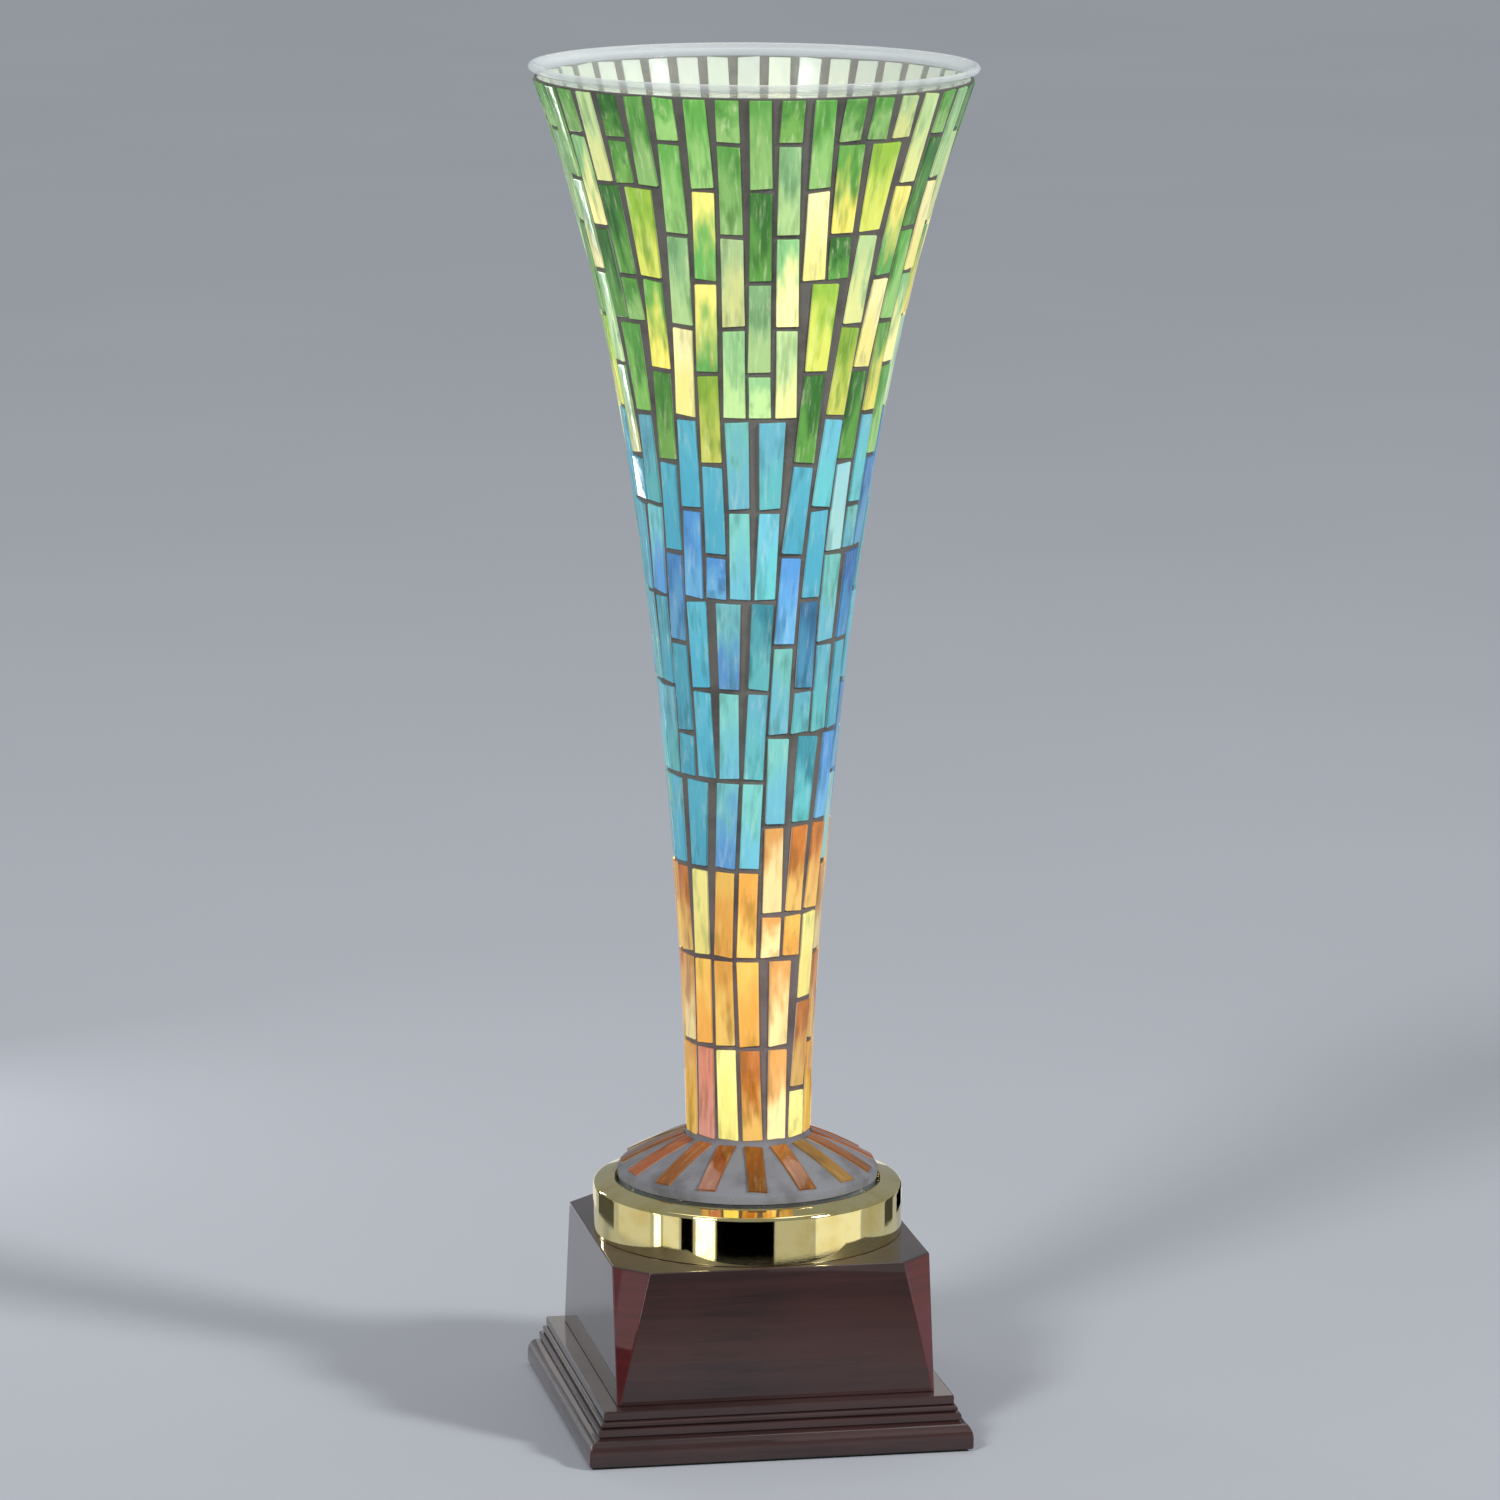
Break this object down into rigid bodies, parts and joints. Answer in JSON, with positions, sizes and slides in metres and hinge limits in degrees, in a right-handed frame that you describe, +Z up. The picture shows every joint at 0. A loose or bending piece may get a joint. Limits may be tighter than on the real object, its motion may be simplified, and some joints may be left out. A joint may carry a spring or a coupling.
{
  "type": "mosaic glass table lamp",
  "caption": "Uplighter table lamp: a flared glass vessel clad in green, blue and amber glass strips, in a brass collar on a square lacquered wooden base.",
  "frame": {"origin": "centre of the underside, on the surface that the lamp stands on", "axes": "+Z up along the vessel's axis, -Y towards the front face of the square base, +X to the front face's right"},
  "size_m": [0.1396, 0.1396, 0.43],
  "materials": {
    "felt": "napped wool felt",
    "fibreboard": "smooth pressed board",
    "lacquered_wood": "dark red-brown, high-gloss lacquer",
    "steel_screws": "zinc plated",
    "brass_screws": "turned",
    "polished_brass": "polished and lacquered, pale",
    "threaded_brass": "cut thread",
    "black_rubber": "matt, moulded",
    "black_nylon": "fine moulded grain",
    "terminal_plastic": "moulded",
    "live_insulation": "extruded, brown",
    "neutral_insulation": "extruded, blue",
    "clear_glass": "blown, fire-polished lip",
    "grout": "sanded cement grout, dark grey",
    "green_glass": "cut streaky glass, green and yellow",
    "blue_glass": "cut streaky glass, blue and turquoise",
    "amber_glass": "cut streaky glass, amber and yellow",
    "brown_glass": "cut streaky glass, brown",
    "glazed_porcelain": "glazed",
    "ceramic_insulator": "unglazed",
    "contact_bronze": "rolled strip",
    "shell_brass": "rolled thread",
    "nickel_cap": "rolled thread, nickel plated",
    "solder": "soldered",
    "black_glass": "fused insulator",
    "opal_glass": "opal, inside coated",
    "lamp_stem_glass": "drawn",
    "tungsten": "drawn wire"
  },
  "bodies": {
    "lamp": {"felt_pad": "felt", "bottom_cover": "fibreboard", "cover_screws": "steel_screws", "plinth": "lacquered_wood", "block_screws": "brass_screws", "base_block": "lacquered_wood", "cord_bush": "black_nylon", "terminal_block": "terminal_plastic", "terminal_screws": "steel_screws", "terminal_fixing": "steel_screws", "lower_washer": "steel_screws", "lower_nut": "steel_screws", "lamp_pipe": "threaded_brass", "upper_washer": "steel_screws", "upper_nut": "steel_screws", "collar": "polished_brass", "collar_screws": "steel_screws", "foot_seal": "black_rubber", "glass_vessel": "clear_glass", "grout_bed": "grout", "green_strips": "green_glass", "blue_strips": "blue_glass", "amber_strips": "amber_glass", "foot_strips": "brown_glass", "clamp_bush": "black_rubber", "clamp_washer": "steel_screws", "clamp_nut": "steel_screws", "socket_nut": "steel_screws", "socket_cup": "threaded_brass", "socket_body": "glazed_porcelain", "socket_insulator": "ceramic_insulator", "socket_contact": "contact_bronze", "socket_shell": "shell_brass", "socket_screws": "steel_screws", "lead_live": "live_insulation", "lead_neutral": "neutral_insulation"},
    "bulb": {"bulb_contact": "solder", "bulb_insulator": "black_glass", "bulb_cap": "nickel_cap", "bulb_glass": "opal_glass", "bulb_stem": "lamp_stem_glass", "bulb_filament": "tungsten"}
  },
  "joints": [
    {"name": "bulb_lift", "type": "slide", "parent": "lamp", "child": "bulb", "axis": [0, 0, 1], "range_m": [0, 0.15]}
  ]
}
